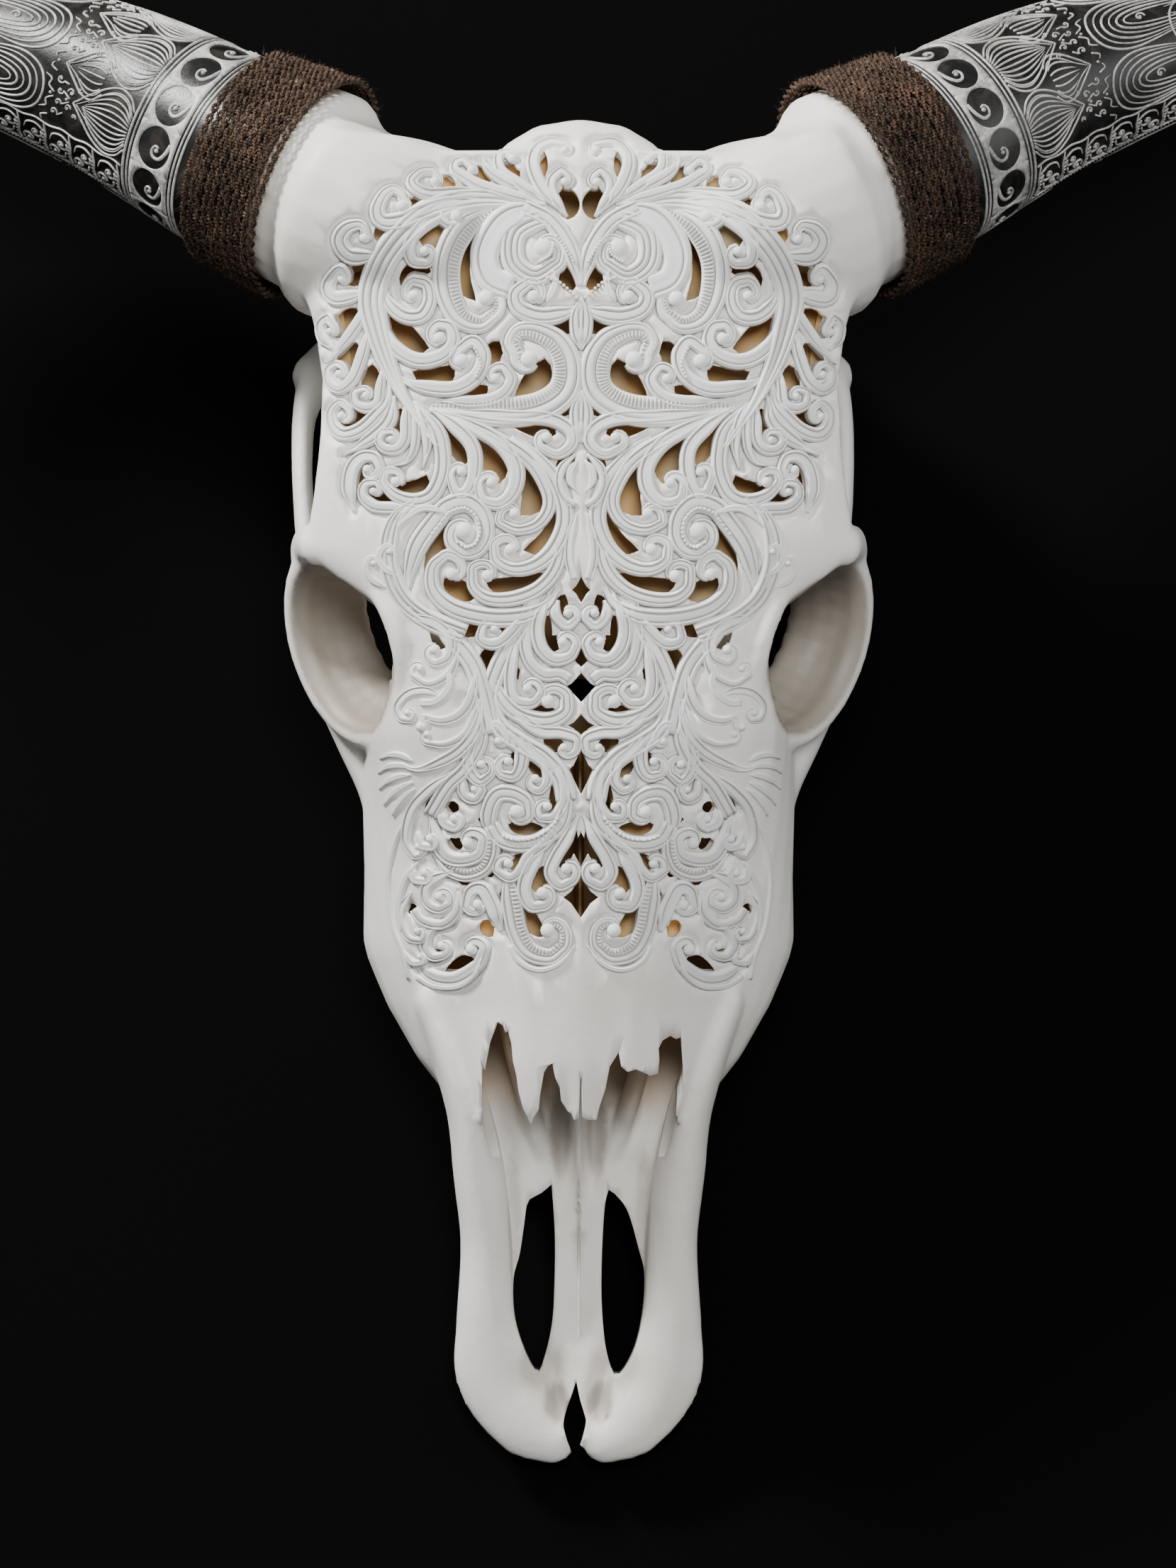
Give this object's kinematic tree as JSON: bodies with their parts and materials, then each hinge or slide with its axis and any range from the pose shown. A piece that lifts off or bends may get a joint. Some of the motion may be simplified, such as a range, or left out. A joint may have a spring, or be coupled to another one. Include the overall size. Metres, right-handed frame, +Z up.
{
  "type": "carved cow skull",
  "caption": "Bleached cow skull with a pierced scroll-carved face, engraved black horns and cord wound round the foot of each horn, lying face up on its cheek teeth.",
  "frame": {"origin": "middle of the object's footprint, on the surface it lies on, which the chewing faces of the cheek teeth touch", "axes": "+X to the viewer's right, towards the right horn's tip; +Y from the nose to the back of the head; +Z up, out of the forehead"},
  "size_m": [0.72, 0.5342, 0.1749],
  "materials": {
    "bone": "satin",
    "horn": "gloss",
    "cord": "matte",
    "tooth": "satin"
  },
  "bodies": {
    "root": {"skull": "bone", "horn_right": "horn", "horn_left": "horn", "rope_right": "cord", "rope_left": "cord", "tooth_right_1": "tooth", "tooth_right_2": "tooth", "tooth_right_3": "tooth", "tooth_right_4": "tooth", "tooth_right_5": "tooth", "tooth_right_6": "tooth", "tooth_left_1": "tooth", "tooth_left_2": "tooth", "tooth_left_3": "tooth", "tooth_left_4": "tooth", "tooth_left_5": "tooth", "tooth_left_6": "tooth"}
  },
  "joints": []
}
